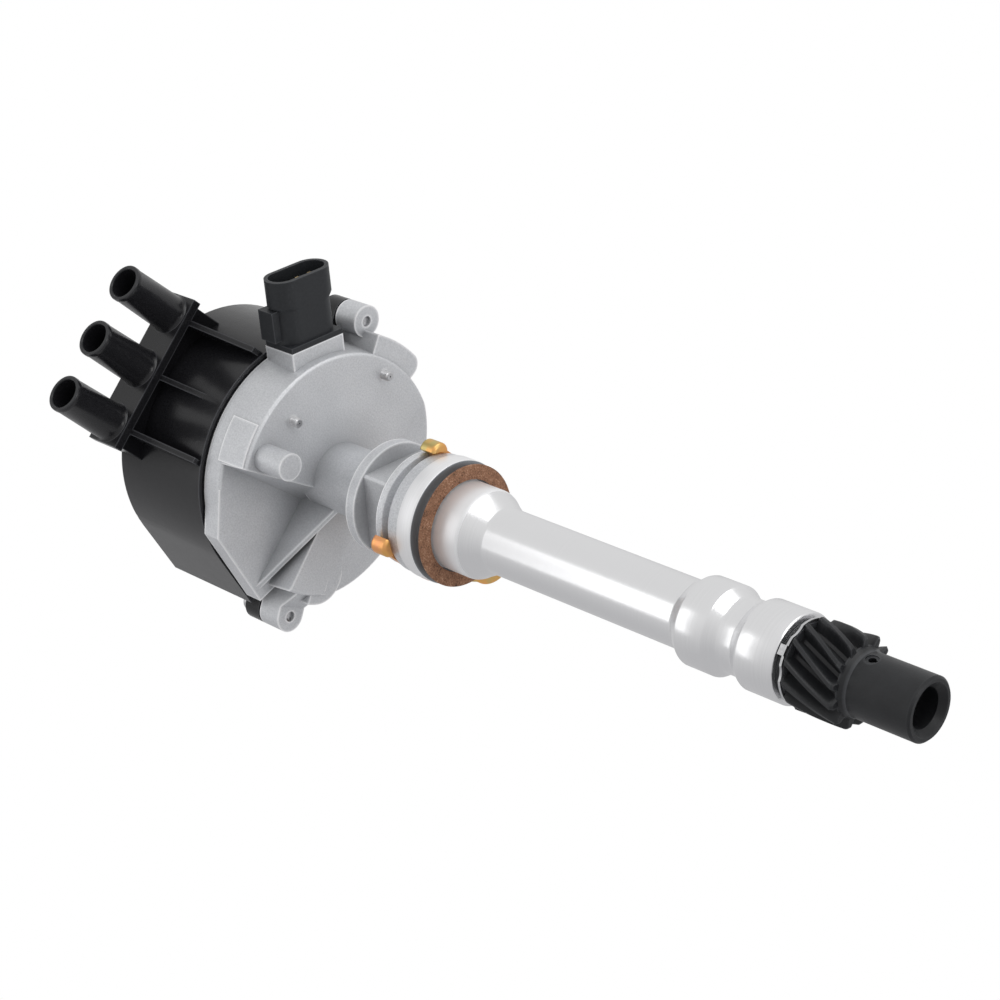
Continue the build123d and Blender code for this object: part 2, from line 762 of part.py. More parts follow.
def rotor():
    """Moulded rotor: disc with a raised block that carries the blade."""
    base = upright(rotor_radius, shaft_top, shaft_top + rotor_disc_height)
    block_top = shaft_top + rotor_block_height
    block = Pos(rotor_radius / 2 - 4, 0, (shaft_top + block_top) / 2)
    base = base + block * Box(rotor_radius, rotor_block_width, rotor_block_height)
    head = upright(rotor_block_width / 2, shaft_top, block_top, (-4, 0))
    base = base + head
    for angle in rotor_screw_angles:
        place = polar(rotor_screw_circle, angle)[:2]
        base = base - upright(rotor_screw_radius + 0.1, shaft_top - 1,
                              shaft_top + rotor_disc_height + 1, place)
    return base


def rotor_blade():
    """Blade on the rotor whose tip passes the cap posts."""
    bottom = shaft_top + rotor_block_height
    tip = post_circle_radius - post_radius - blade_gap
    length = tip - 6
    blade = Pos(6 + length / 2, 0, bottom + blade_thickness / 2)
    return blade * Box(length, blade_width, blade_thickness)


def contact_spring():
    """Leaf that rises from the blade to the carbon button."""
    foot = shaft_top + rotor_block_height
    top = cavity_top - button_drop - button_clearance
    leaf = spring_thickness
    path = Polyline((spring_foot, foot), (spring_foot, foot + 2 * leaf), (spring_crown, top),
                    (-spring_crown, top), (-spring_crown, top - leaf),
                    (spring_crown - leaf, top - leaf), (spring_foot - 1.5 * leaf, foot + 1.5 * leaf),
                    (-spring_foot, foot + leaf), (-spring_foot, foot), close=True)
    return extrude(Plane.XZ * make_face(path), spring_width / 2, both=True)


def rotor_screws():
    """Two screws that hold the rotor to the shutter wheel."""
    screws = []
    seat = shaft_top + rotor_disc_height
    for angle in rotor_screw_angles:
        place = polar(rotor_screw_circle, angle)[:2]
        screw = upright(rotor_screw_radius, shaft_top - shutter_thickness, seat + 0.5, place)
        screw = screw + upright(rotor_screw_head_radius, seat, seat + rotor_screw_head_height, place)
        screws.append(screw)
    return Compound(children=screws)


def cam_sensor():
    """Sensor base screwed to the bowl floor, with a slotted tower the skirt runs through."""
    floor = bowl_bottom + bowl_floor
    half = sensor_arc_span / 2
    start = sensor_angle - half
    end = sensor_angle + half
    top = floor + sensor_base_height
    base = ring(sensor_arc_outer, sensor_arc_inner, floor, top)
    base = base & sector(2 * sensor_arc_outer, start, end, floor - 1, top + 1)
    tower_top = floor + sensor_tower_height
    tower = ring(shutter_radius + sensor_slot_gap + 4, shutter_radius - shutter_thickness
                 - sensor_slot_gap - 3, floor + 1, tower_top)
    slot = ring(shutter_radius + sensor_slot_gap, shutter_radius - shutter_thickness - sensor_slot_gap,
                top, tower_top + 1)
    tower = tower & sector(2 * sensor_arc_outer, sensor_angle - sensor_tower_span / 2,
                           sensor_angle + sensor_tower_span / 2, floor, tower_top + 1)
    sensor = base + (tower - slot)
    for place in (sensor_screw_near, sensor_screw_far):
        sensor = sensor + upright(sensor_pad_radius, floor, top, place)
    for place in (sensor_screw_near, sensor_screw_far):
        sensor = sensor - upright(sensor_screw_radius + 0.1, floor - 1, top + 1, place)
    return sensor


def sensor_screws():
    """Two screws through the sensor base whose ends stand out under the bowl."""
    screws = []
    seat = bowl_bottom + bowl_floor + sensor_base_height
    for place in (sensor_screw_near, sensor_screw_far):
        screw = upright(sensor_screw_radius, bowl_bottom - sensor_screw_stand, seat + 0.5, place)
        screw = screw + upright(sensor_screw_head_radius, seat, seat + sensor_screw_head_height, place)
        screws.append(screw)
    return Compound(children=screws)


def socket_place(reach):
    """Plane across the plug socket at a reach from the shaft axis, looking out."""
    origin = polar(reach, sensor_angle, bowl_bottom + socket_height)
    outward = polar(1, sensor_angle)
    return Plane(origin=origin, x_dir=(-outward[1], outward[0], 0), z_dir=outward)


def sensor_connector():
    """Black moulded plug socket on the bowl wall, with an oval mouth for three wires."""
    base = extrude(socket_place(socket_pad_reach) * Rectangle(socket_base_width, socket_base_height),
                   socket_base_thickness)
    neck_start = socket_pad_reach + socket_base_thickness
    neck_end = neck_start + socket_neck_length
    neck = extrude(socket_place(neck_start) * SlotOverall(socket_neck_width, socket_neck_height),
                   socket_neck_length)
    shell = extrude(socket_place(neck_end) * SlotOverall(socket_shell_width, socket_shell_height),
                    socket_shell_length)
    flare = loft([socket_place(neck_end - 2) * SlotOverall(socket_neck_width, socket_neck_height),
                  socket_place(neck_end) * SlotOverall(socket_shell_width, socket_shell_height)])
    key_side = -(socket_neck_width + socket_key_width) / 2 + socket_shell_wall
    key = Pos(key_side, socket_key_rise) * Rectangle(socket_key_width, socket_key_height)
    key = extrude(socket_place(neck_start + socket_key_start) * key, socket_key_length)
    tail = extrude(socket_place(socket_pad_reach) * Rectangle(socket_neck_width - 6.6,
                                                              socket_neck_height - 4.6), -8)
    cavity_width = socket_shell_width - 2 * socket_shell_wall
    cavity_height = socket_shell_height - 2 * socket_shell_wall
    cavity = extrude(socket_place(neck_end - 1) * SlotOverall(cavity_width, cavity_height),
                     socket_shell_length + 2)
    body = base + neck + flare + shell + key + tail
    return body - cavity - connector_terminals()


def connector_terminals():
    """Three blades in the plug socket."""
    blades = []
    floor = socket_pad_reach + socket_base_thickness + socket_neck_length - 1
    for index in (-1, 0, 1):
        blade = Pos(index * terminal_pitch, 0) * Rectangle(terminal_width, terminal_thickness)
        blades.append(extrude(socket_place(floor - terminal_root) * blade,
                              terminal_stand + terminal_root))
    return Compound(children=blades)


washer_bottom = gear_top
tang_bottom = washer_bottom + shim_thickness
shim_bottom = tang_bottom + tang_washer_thickness + 0.02

pieces = {
    "housing": housing(),
    "upper_bush": bush(upper_bush_top - upper_bush_length, upper_bush_length),
    "lower_bush": bush(tube_end, lower_bush_length),
    "shaft_seal": shaft_seal(),
    "flange_gasket": flange_gasket(),
    "hold_down_clamp": hold_down_clamp(),
    "cap_seal": cap_seal(),
    "distributor_cap": distributor_cap(),
    "plug_terminals": plug_terminals(),
    "coil_terminal": coil_terminal(),
    "carbon_button": carbon_button(),
    "cap_screws": cap_screws(),
    "cam_sensor": cam_sensor(),
    "sensor_screws": sensor_screws(),
    "sensor_connector": sensor_connector(),
    "connector_terminals": connector_terminals(),
    "shaft": shaft(),
    "shutter_wheel": shutter_wheel(),
    "rotor": rotor(),
    "rotor_blade": rotor_blade(),
    "contact_spring": contact_spring(),
    "rotor_screws": rotor_screws(),
    "drive_gear": drive_gear(),
    "roll_pin": roll_pin(),
    "lower_washer": washer(washer_bottom, shim_thickness, washer_radius),
    "tanged_washer": tanged_washer(tang_bottom),
    "thrust_shim": washer(shim_bottom, tube_end - end_play - shim_bottom, washer_radius),
}

for name, piece in pieces.items():
    export_step(piece, f"parts/{name}.step")
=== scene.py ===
import math

import bpy
from mathutils import Matrix, Vector


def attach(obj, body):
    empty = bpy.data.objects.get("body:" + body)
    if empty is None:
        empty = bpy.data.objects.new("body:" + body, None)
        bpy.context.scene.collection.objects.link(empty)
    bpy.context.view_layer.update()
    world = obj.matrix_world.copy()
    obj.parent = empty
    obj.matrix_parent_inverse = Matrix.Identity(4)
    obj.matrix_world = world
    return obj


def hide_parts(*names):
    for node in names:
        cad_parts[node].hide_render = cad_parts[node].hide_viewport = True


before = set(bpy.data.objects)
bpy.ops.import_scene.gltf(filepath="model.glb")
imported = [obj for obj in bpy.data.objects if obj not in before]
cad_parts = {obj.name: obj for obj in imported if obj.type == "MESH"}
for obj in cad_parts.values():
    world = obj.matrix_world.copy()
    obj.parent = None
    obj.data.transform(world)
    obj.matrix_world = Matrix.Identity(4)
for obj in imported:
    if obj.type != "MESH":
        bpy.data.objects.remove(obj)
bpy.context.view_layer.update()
bpy.ops.object.select_all(action="DESELECT")

# The photographer's place: low and beside the near bank of towers, looking up along the tube.
# The lens is long, about 88 mm on a full-frame body, so the far end hardly shrinks.
# The three directions were fitted to the ellipses of the flange, journal and hub.
photo_right = Vector((-0.54974, 0.45406, -0.70115))
photo_up = Vector((0.38687, 0.88231, 0.26806))
photo_back = Vector((0.74035, -0.12389, -0.66070))
photo_place = Vector((0.65736, -0.09663, -0.60001))
bpy.ops.object.camera_add(location=photo_place)
camera = bpy.context.object
camera.name = "photo_camera"
turn = Matrix((photo_right, photo_up, photo_back)).transposed()
camera.rotation_euler = turn.to_euler()
camera.data.lens = 88.2
camera.data.sensor_width = 36
camera.data.clip_end = 20
bpy.context.scene.camera = camera
bpy.context.scene.view_settings.view_transform = "Standard"


# The studio: a pale table under the drive end and soft white light from all round.
# The table lets light and the camera through from below, as a glass table does, because the
# photograph was taken from under the flange, and it still takes the part's shadow.
def arithmetic(tree, operation, first, second):
    """One arithmetic step between two values, each a node's output or a number."""
    step = tree.nodes.new("ShaderNodeMath")
    step.operation = operation
    for socket, value in enumerate((first, second)):
        if isinstance(value, (int, float)):
            step.inputs[socket].default_value = value
        else:
            tree.links.new(value, step.inputs[socket])
    return step.outputs[0]


def colours(tree, value, stops):
    """Colours laid over a value from 0 to 1."""
    ramp = tree.nodes.new("ShaderNodeValToRGB")
    bar = ramp.color_ramp
    while len(bar.elements) < len(stops):
        bar.elements.new(0.5)
    for element, (position, colour) in zip(bar.elements, stops):
        element.position = position
        element.color = (*colour, 1)
    tree.links.new(value, ramp.inputs["Fac"])
    return ramp.outputs["Color"]


table_level = -0.2125
bpy.ops.mesh.primitive_plane_add(size=4, location=(0, 0, table_level))
table = bpy.context.object
table.name = "table"
paint = bpy.data.materials.new("table_paint")
paint.use_nodes = True
tree = paint.node_tree
tree.nodes.clear()
pale = tree.nodes.new("ShaderNodeBsdfDiffuse")
pale.inputs["Color"].default_value = (0.86, 0.86, 0.86, 1)
clear = tree.nodes.new("ShaderNodeBsdfTransparent")
facing = tree.nodes.new("ShaderNodeNewGeometry")
ray = tree.nodes.new("ShaderNodeLightPath")
passes = arithmetic(tree, "MAXIMUM", facing.outputs["Backfacing"], ray.outputs["Is Shadow Ray"])
passes = arithmetic(tree, "MAXIMUM", passes, ray.outputs["Is Glossy Ray"])
blend = tree.nodes.new("ShaderNodeMixShader")
tree.links.new(passes, blend.inputs["Fac"])
tree.links.new(pale.outputs[0], blend.inputs[1])
tree.links.new(clear.outputs[0], blend.inputs[2])
surface = tree.nodes.new("ShaderNodeOutputMaterial")
tree.links.new(blend.outputs[0], surface.inputs["Surface"])
table.data.materials.append(paint)

world = bpy.data.worlds.new("white_room")
bpy.context.scene.world = world
world.use_nodes = True
tree = world.node_tree
tree.nodes.clear()
seen = tree.nodes.new("ShaderNodeBackground")
seen.inputs["Color"].default_value = (1, 1, 1, 1)
seen.inputs["Strength"].default_value = 1.0
room = tree.nodes.new("ShaderNodeBackground")
room.inputs["Strength"].default_value = 0.85
where = tree.nodes.new("ShaderNodeTexCoord")
lean = tree.nodes.new("ShaderNodeVectorMath")
lean.operation = "DOT_PRODUCT"
lean.inputs[1].default_value = (0.55, 0.80, 0.20)
tree.links.new(where.outputs["Generated"], lean.inputs[0])
level = arithmetic(tree, "ADD", arithmetic(tree, "MULTIPLY", lean.outputs["Value"], 0.5), 0.5)
tree.links.new(colours(tree, level, [(0.18, (0.60, 0.60, 0.61)), (0.72, (0.88, 0.88, 0.88))]),
               room.inputs["Color"])
ray = tree.nodes.new("ShaderNodeLightPath")
straight = arithmetic(tree, "MAXIMUM", ray.outputs["Is Camera Ray"],
                      ray.outputs["Is Transmission Ray"])
blend = tree.nodes.new("ShaderNodeMixShader")
tree.links.new(straight, blend.inputs["Fac"])
tree.links.new(room.outputs[0], blend.inputs[1])
tree.links.new(seen.outputs[0], blend.inputs[2])
surface = tree.nodes.new("ShaderNodeOutputWorld")
tree.links.new(blend.outputs[0], surface.inputs["Surface"])

lamp_distance = 1.1
softboxes = [
    ("softbox_above", 1.1, 0.55, 3.4, (0.35, 1.0, 0.65)),
    ("softbox_left", 0.9, 0.22, 0.75, (-0.985, 0.13, 0.10)),
    ("softbox_right", 0.9, 0.30, 1.8, (0.95, 0.10, 0.75)),
]
for name, wide, high, power, (rightward, upward, backward) in softboxes:
    side = photo_right * rightward + photo_up * upward + photo_back * backward
    side.normalize()
    bpy.ops.object.light_add(type="AREA", location=side * lamp_distance)
    lamp = bpy.context.object
    lamp.name = name
    lamp.data.shape = "RECTANGLE"
    lamp.data.size = wide
    lamp.data.size_y = high
    lamp.data.energy = power
    lamp.rotation_euler = side.to_track_quat("Z", "Y").to_euler()


# The housing is one aluminium casting: bowl, neck, wrench flats, flange and tube.
# The tube, flange band and journals are turned bright on a lathe, and the rest is left as
# it came from the mould, with rounded edges and a fine sandy grain. Its outer edges carry a
# painted highlight and its corners painted shade.
def start_finish(name, colour, metal, rough):
    """New material with its shader's plain numbers set."""
    finish = bpy.data.materials.new(name)
    finish.use_nodes = True
    shader = finish.node_tree.nodes["Principled BSDF"]
    shader.inputs["Base Color"].default_value = (*colour, 1)
    shader.inputs["Metallic"].default_value = metal
    shader.inputs["Roughness"].default_value = rough
    return finish, finish.node_tree, shader


def place_on_part(tree):
    """The point on the piece, in metres in the part's own frame."""
    return tree.nodes.new("ShaderNodeTexCoord").outputs["Object"]


def speckle(tree, point, scale, detail=3.0, rough=0.6):
    """Cloudy noise of one grain size, as a value from 0 to 1."""
    noise = tree.nodes.new("ShaderNodeTexNoise")
    noise.inputs["Scale"].default_value = scale
    noise.inputs["Detail"].default_value = detail
    noise.inputs["Roughness"].default_value = rough
    tree.links.new(point, noise.inputs["Vector"])
    return noise.outputs["Fac"]


def mixture(tree, first, first_share, second, second_share):
    """Two values added, each times its share."""
    return arithmetic(tree, "ADD", arithmetic(tree, "MULTIPLY", first, first_share),
                      arithmetic(tree, "MULTIPLY", second, second_share))


def roughen(tree, shader, height, strength, depth):
    """Bumps on the surface from a value."""
    bump = tree.nodes.new("ShaderNodeBump")
    bump.inputs["Strength"].default_value = strength
    bump.inputs["Distance"].default_value = depth
    tree.links.new(height, bump.inputs["Height"])
    tree.links.new(bump.outputs["Normal"], shader.inputs["Normal"])


def nearness(tree, reach, inside):
    """How open the surface is, from 1 down to 0: in corners, or inside along outer edges."""
    probe = tree.nodes.new("ShaderNodeAmbientOcclusion")
    probe.inside = inside
    probe.only_local = True
    probe.samples = 8
    probe.inputs["Distance"].default_value = reach
    return probe.outputs["AO"]


def laid_over(tree, share, under, over):
    """One colour laid over another by a share."""
    blend = tree.nodes.new("ShaderNodeMix")
    blend.data_type = "RGBA"
    tree.links.new(share, blend.inputs["Factor"])
    for socket, value in (("A", under), ("B", over)):
        if isinstance(value, tuple):
            blend.inputs[socket].default_value = (*value, 1)
        else:
            tree.links.new(value, blend.inputs[socket])
    return blend.outputs["Result"]


def painted_edge_highlight(tree, plain, highlight_colour, reach, amount):
    """The colour along outer edges painted lighter, as a painted highlight where edges catch the
    light.
    """
    edge_share = arithmetic(tree, "SUBTRACT", 1.0, nearness(tree, reach, True))
    return laid_over(tree, arithmetic(tree, "MULTIPLY", edge_share, amount), plain, highlight_colour)


def edit(piece):
    """Only this piece selected and open in edit mode, all of it selected."""
    bpy.ops.object.select_all(action="DESELECT")
    piece.select_set(True)
    bpy.context.view_layer.objects.active = piece
    bpy.ops.object.mode_set(mode="EDIT")
    bpy.ops.mesh.select_all(action="SELECT")


def close_edit(smooth=30):
    """Merged, turned outward, and shaded smooth up to an angle in degrees."""
    bpy.ops.mesh.select_all(action="SELECT")
    bpy.ops.mesh.remove_doubles(threshold=0.00001)
    bpy.ops.mesh.normals_make_consistent(inside=False)
    bpy.ops.object.mode_set(mode="OBJECT")
    bpy.ops.object.shade_smooth_by_angle(angle=math.radians(smooth))


def lathe(name, stations, segments=96):
    """A turned piece: a circle drawn up through (radius, height) stations in millimetres."""
    radius, height = stations[0]
    bpy.ops.mesh.primitive_circle_add(vertices=segments, radius=radius / 1000,
                                      location=(0, 0, height / 1000))
    piece = bpy.context.object
    piece.name = name
    bpy.ops.object.transform_apply(location=True, rotation=True, scale=True)
    edit(piece)
    for next_radius, next_height in stations[1:]:
        rise = (next_height - height) / 1000
        grow = next_radius / radius
        bpy.ops.mesh.extrude_region_move(TRANSFORM_OT_translate={"value": (0, 0, rise)})
        bpy.ops.transform.resize(value=(grow, grow, 1), center_override=(0, 0, 0))
        radius, height = next_radius, next_height
    close_edit()
    return piece


def copy_of_solid(node, name):
    """A solid's own mesh as a new piece, merged and with its flat faces made whole."""
    piece = bpy.data.objects.new(name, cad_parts[node].data.copy())
    bpy.context.scene.collection.objects.link(piece)
    piece.data.materials.clear()
    edit(piece)
    bpy.ops.mesh.remove_doubles(threshold=0.00001)
    bpy.ops.mesh.dissolve_limited(angle_limit=math.radians(0.6))
    bpy.ops.object.mode_set(mode="OBJECT")
    return piece


def cut_away(piece, point, normal):
    """What lies on the normal's side of a plane is cut off, and the cut is closed."""
    edit(piece)
    bpy.ops.mesh.bisect(plane_co=point, plane_no=normal, clear_outer=True, use_fill=True,
                        threshold=0.000001)
    bpy.ops.object.mode_set(mode="OBJECT")


def soften(piece, width, steps=2):
    """Edges rounded, as a mould leaves them, with the flat faces between them kept flat."""
    bpy.ops.object.select_all(action="DESELECT")
    piece.select_set(True)
    bpy.context.view_layer.objects.active = piece
    bevel = piece.modifiers.new("soft_edges", "BEVEL")
    bevel.width = width
    bevel.segments = steps
    bevel.limit_method = "ANGLE"
    bevel.angle_limit = math.radians(35)
    bevel.use_clamp_overlap = True
    bevel.harden_normals = False
    bpy.ops.object.modifier_apply(modifier=bevel.name)
    bpy.ops.object.shade_smooth_by_angle(angle=math.radians(40))
    flat = piece.modifiers.new("flat_faces", "WEIGHTED_NORMAL")
    flat.weight = 100
    flat.keep_sharp = True
    bpy.ops.object.modifier_apply(modifier=flat.name)


cast, tree, shader = start_finish("cast_aluminium", (0.60, 0.61, 0.62), 0.65, 0.50)
point = place_on_part(tree)
sand = speckle(tree, point, 1400, 4)
cloud = speckle(tree, point, 60, 3)
surface_colour = colours(tree, mixture(tree, sand, 0.75, cloud, 0.25),
                [(0.30, (0.55, 0.56, 0.58)), (0.70, (0.74, 0.75, 0.77))])
# Painted shade: the colour darkens to grey in corners and hollows, where the casting shades
# itself.
surface_colour = laid_over(tree, nearness(tree, 0.016, False), (0.26, 0.265, 0.275), surface_colour)
# Painted highlight: the outer edges are painted nearly white, where they would catch the light.
tree.links.new(painted_edge_highlight(tree, surface_colour, (0.97, 0.97, 0.98), 0.0010, 1.8),
               shader.inputs["Base Color"])
roughen(tree, shader,
        arithmetic(tree, "ADD", sand, arithmetic(tree, "MULTIPLY", cloud, 0.15)), 0.40, 0.0003)

# The lathe's feed leaves fine rings on the tube. Above the band the flange keeps its cast skin,
# the flange's lower face is painted dark grey as painted shade, since it looks away from the
# light, and the pilot is a little duller.
band_top = 0.00765
pilot_radius = 0.0172
flange_bottom = 0.0002
pilot_bottom = -0.0170
turned, tree, shader = start_finish("turned_aluminium", (0.88, 0.88, 0.89), 1.0, 0.26)
point = place_on_part(tree)
axes = tree.nodes.new("ShaderNodeSeparateXYZ")
tree.links.new(point, axes.inputs[0])
x, y, z = axes.outputs["X"], axes.outputs["Y"], axes.outputs["Z"]
across = arithmetic(tree, "POWER", mixture(tree, x, x, y, y), 0.5)
feed = tree.nodes.new("ShaderNodeTexNoise")
feed.noise_dimensions = "1D"
feed.inputs["Scale"].default_value = 2600
feed.inputs["Detail"].default_value = 2
tree.links.new(arithmetic(tree, "ADD", z, across), feed.inputs["W"])
rings = feed.outputs["Fac"]
sand = speckle(tree, point, 1400, 4)
above_band = arithmetic(tree, "GREATER_THAN", z, band_top)
# Painted shade: the flange's lower face, out beyond the pilot, is coloured dark grey.
painted_shade_face = arithmetic(tree, "MULTIPLY", arithmetic(tree, "GREATER_THAN", across, pilot_radius),
                     arithmetic(tree, "LESS_THAN", z, flange_bottom))
on_pilot = arithmetic(tree, "GREATER_THAN", z, pilot_bottom)
bright = colours(tree, rings, [(0.35, (0.85, 0.85, 0.86)), (0.65, (0.89, 0.89, 0.90))])
sandy = colours(tree, sand, [(0.3, (0.56, 0.57, 0.59)), (0.7, (0.76, 0.77, 0.79))])
skin = laid_over(tree, above_band, bright, sandy)
tree.links.new(laid_over(tree, painted_shade_face, skin, (0.26, 0.28, 0.30)), shader.inputs["Base Color"])
dulled = arithmetic(tree, "MULTIPLY", on_pilot, 0.45)
tree.links.new(arithmetic(tree, "SUBTRACT", 1.0, dulled), shader.inputs["Metallic"])
tree.links.new(arithmetic(tree, "ADD", arithmetic(tree, "MULTIPLY", on_pilot, 0.16), 0.26),
               shader.inputs["Roughness"])
sand_above = arithmetic(tree, "MULTIPLY", sand, above_band)
roughen(tree, shader, mixture(tree, rings, 0.10, sand_above, 1.5), 0.25, 0.0002)

tube = lathe("housing_tube", [
    (9.0, -137), (9.0, -160.5), (9.4, -161), (15.4, -161), (15.7, -160.9), (15.9, -160.7),
    (16.0, -160.4), (16.0, -145.8), (15.9, -145.5), (15.7, -145.1), (13.75, -142.1),
    (13.5, -141.6), (13.4, -141.0), (13.4, -135.6), (13.5, -135.1), (13.75, -134.6),
    (15.7, -131.6), (15.9, -131.3), (16.0, -130.9), (16.0, -119.9), (15.9, -119.5),
    (15.7, -119.1), (12.75, -115.1), (12.5, -114.7), (12.4, -114.0), (12.4, -25.2),
    (12.5, -24.6), (12.7, -24.1), (15.8, -18.1), (16.2, -17.5), (16.7, -16.7), (16.95, -16.0),
    (17.0, -15.3), (17.0, -0.6), (16.8, -0.2), (17.0, 0.0), (23.0, 0.0), (23.35, 0.12),
    (23.52, 0.35), (23.6, 0.7), (23.6, 7.2), (23.5, 7.5), (23.1, 7.8), (23.0, 8.1),
    (23.0, 12.4), (22.85, 12.8), (22.5, 13.0), (17.9, 13.0), (17.5, 13.15), (17.4, 13.5),
    (17.4, 16.5), (17.5, 16.85), (17.9, 17.0), (21.5, 17.0), (21.85, 17.15), (22.0, 17.5),
    (22.0, 19.9), (9.0, 19.9), (9.0, -137),
], segments=144)
tube.data.materials.append(turned)
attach(tube, "housing_body")
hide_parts("housing")

bowl = copy_of_solid("housing", "housing_bowl")
tube_top = 0.0199
cut_away(bowl, (0, 0, tube_top), (0, 0, -1))
soften(bowl, 0.0005)
bowl.data.materials.append(cast)
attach(bowl, "housing_body")
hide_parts("housing")

# The cap is moulded in black thermoset with a shine like new tyres: a deep round skirt,
# flat banks with three plug towers each, thin gusset ribs under the banks, and screw ears.
# The towers are open tubes with a rolled lip.
black, tree, shader = start_finish("moulded_black", (0.010, 0.010, 0.011), 0.0, 0.22)
point = place_on_part(tree)
peel = speckle(tree, point, 260, 2)
dust = speckle(tree, point, 2200, 2)
surface_colour = colours(tree, dust, [(0.35, (0.007, 0.007, 0.008)), (0.75, (0.016, 0.016, 0.018))])
# Painted highlight: the outer edges are painted a lighter grey, where they would catch the
# light.
tree.links.new(painted_edge_highlight(tree, surface_colour, (0.085, 0.087, 0.095), 0.0006, 1.4),
               shader.inputs["Base Color"])
# Painted shade: the shine is turned down in the hollows under the gussets, where the cap shades
# itself.
open_sky = arithmetic(tree, "POWER", nearness(tree, 0.040, False), 2.0)
tree.links.new(arithmetic(tree, "MULTIPLY", open_sky, 0.42), shader.inputs["Specular IOR Level"])
tree.links.new(arithmetic(tree, "ADD", arithmetic(tree, "MULTIPLY", peel, 0.10), 0.18),
               shader.inputs["Roughness"])
roughen(tree, shader, peel, 0.10, 0.0004)

plate_face = 0.0605
plate_skin = 0.0001
cap = copy_of_solid("distributor_cap", "cap_shell")
for side in (1, -1):
    cut_away(cap, (side * (plate_face + plate_skin), 0, 0), (side, 0, 0))
soften(cap, 0.0006)
cap.data.materials.append(black)
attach(cap, "housing_body")
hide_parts("distributor_cap")

tower_level = 0.127
tower_pitch = 0.0236
bank_shift = 0.0013
tower_profile = [
    (4.8, 5.5), (5.6, 5.6), (5.6, 25.6), (5.75, 26.2), (6.1, 26.5), (6.9, 26.5), (7.2, 26.3),
    (7.3, 25.9), (7.3, 24.6), (7.2, 24.3), (7.1, 24.1), (7.5, 2.0), (7.6, 0.9), (7.9, 0.35),
    (8.35, -0.05), (7.9, -0.6), (4.8, -0.6), (4.8, 5.5),
]
for side, first_number in ((1, 1), (-1, 4)):
    for index in range(3):
        tower = lathe(f"plug_tower_{first_number + index}", tower_profile, segments=64)
        along = side * (bank_shift + (index - 1) * tower_pitch)
        tower.matrix_world = (Matrix.Translation((side * plate_face, along, tower_level))
                              @ Matrix.Rotation(side * math.pi / 2, 4, "Y"))
        bpy.ops.object.transform_apply(location=True, rotation=True, scale=True)
        tower.data.materials.append(black)
        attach(tower, "housing_body")

# The gasket is a ring of pressed cork and fibre, brown with dark and light flecks.
# It hangs loose on the bright pilot below the flange.
fibre, tree, shader = start_finish("gasket_fibre", (0.26, 0.12, 0.075), 0.0, 0.85)
point = place_on_part(tree)
fleck = speckle(tree, point, 1500, 5, 0.75)
patch = speckle(tree, point, 260, 3)
flecks = [(0.38, (0.045, 0.022, 0.014)), (0.45, (0.22, 0.105, 0.058)),
          (0.54, (0.31, 0.150, 0.082)), (0.66, (0.60, 0.38, 0.26))]
tree.links.new(colours(tree, mixture(tree, fleck, 0.7, patch, 0.3), flecks),
               shader.inputs["Base Color"])
roughen(tree, shader, fleck, 0.5, 0.0003)
gasket = lathe("gasket_ring", [
    (17.6, -4.5), (17.7, -4.6), (23.05, -4.6), (23.2, -4.5), (23.2, -3.9), (23.05, -3.8),
    (17.7, -3.8), (17.6, -3.9), (17.6, -4.5),
], segments=128)
gasket.data.materials.append(fibre)
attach(gasket, "gasket_body")
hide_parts("flange_gasket")

# The hold-down clamp is a stamped steel fork, plated in yellow zinc that shimmers from gold
# to pink and green. Its prongs sit in the groove above the flange, and their ends curl down.
gold, tree, shader = start_finish("yellow_zinc", (0.78, 0.48, 0.22), 0.95, 0.34)
point = place_on_part(tree)
shimmer = [(0.30, (0.62, 0.50, 0.20)), (0.42, (0.86, 0.46, 0.15)),
           (0.55, (0.90, 0.42, 0.17)), (0.70, (0.78, 0.32, 0.22))]
tree.links.new(colours(tree, speckle(tree, point, 90, 2), shimmer), shader.inputs["Base Color"])
roughen(tree, shader, speckle(tree, point, 500, 3), 0.15, 0.0003)
clamp = copy_of_solid("hold_down_clamp", "clamp_fork")
soften(clamp, 0.0006, 3)
clamp.data.materials.append(gold)
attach(clamp, "clamp_body")
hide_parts("hold_down_clamp")

# The plug socket is a matte black moulding screwed to the bowl wall, with an oval mouth,
# a thicker rim and a key lug on one side. Its three brass blades stand inside.
matte, tree, shader = start_finish("moulded_matte", (0.018, 0.020, 0.022), 0.0, 0.46)
shader.inputs["Specular IOR Level"].default_value = 0.35
point = place_on_part(tree)
peel = speckle(tree, point, 900, 3)
surface_colour = colours(tree, peel, [(0.3, (0.014, 0.0155, 0.018)), (0.7, (0.019, 0.021, 0.024))])
# Painted highlight: the outer edges are painted a lighter grey, where they would catch the
# light.
tree.links.new(painted_edge_highlight(tree, surface_colour, (0.075, 0.078, 0.085), 0.0005, 1.2),
               shader.inputs["Base Color"])
roughen(tree, shader, peel, 0.06, 0.0002)
socket = copy_of_solid("sensor_connector", "plug_socket")
soften(socket, 0.0004)
socket.data.materials.append(matte)
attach(socket, "housing_body")
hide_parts("sensor_connector")

# The drive gear is a hardened iron casting with thirteen right-hand helical teeth and a long
# hub, finished in dark oxide, with painted highlights along the tooth edges and painted shade
# in the tooth valleys. A roll pin holds it.
oxide, tree, shader = start_finish("dark_oxide", (0.015, 0.016, 0.018), 0.0, 0.42)
shader.inputs["Specular IOR Level"].default_value = 0.35
point = place_on_part(tree)
cloud = speckle(tree, point, 160, 4)
fine = speckle(tree, point, 1300, 3)
surface_colour = colours(tree, cloud, [(0.3, (0.011, 0.0115, 0.013)), (0.7, (0.018, 0.019, 0.021))])
# Painted shade: the colour darkens to near black in the tooth valleys and corners.
surface_colour = laid_over(tree, nearness(tree, 0.004, False), (0.005, 0.005, 0.006), surface_colour)
